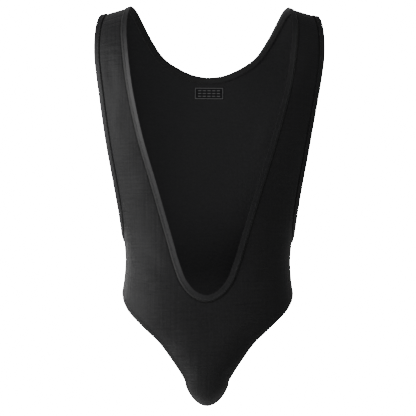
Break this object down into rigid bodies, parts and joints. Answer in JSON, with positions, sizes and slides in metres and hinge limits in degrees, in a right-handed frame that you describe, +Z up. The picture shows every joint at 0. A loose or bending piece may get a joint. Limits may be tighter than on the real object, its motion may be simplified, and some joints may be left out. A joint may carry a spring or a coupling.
{
  "type": "fitness leotard",
  "caption": "Men's black fitness leotard with a deep front neckline, wide straps, deep armholes, high-cut legs and a narrow back, shown in its worn form.",
  "frame": {"origin": "on the centre plane at the height where the wearer's shoulders hold the two straps, midway between front and back", "axes": "+Z up along the worn garment, -Y towards the front, +X towards the wearer's left side"},
  "size_m": [0.3972, 0.2089, 0.6952],
  "materials": {
    "black knit": "fine stretch knit with a soft sheen",
    "black binding": "folded and stitched knit strip with a soft sheen",
    "black label": "smooth printed patch"
  },
  "bodies": {
    "root": {"front_panel": "black knit", "back_panel": "black knit", "neck_binding": "black binding", "armhole_binding_left": "black binding", "armhole_binding_right": "black binding", "neck_label": "black label"}
  },
  "joints": []
}
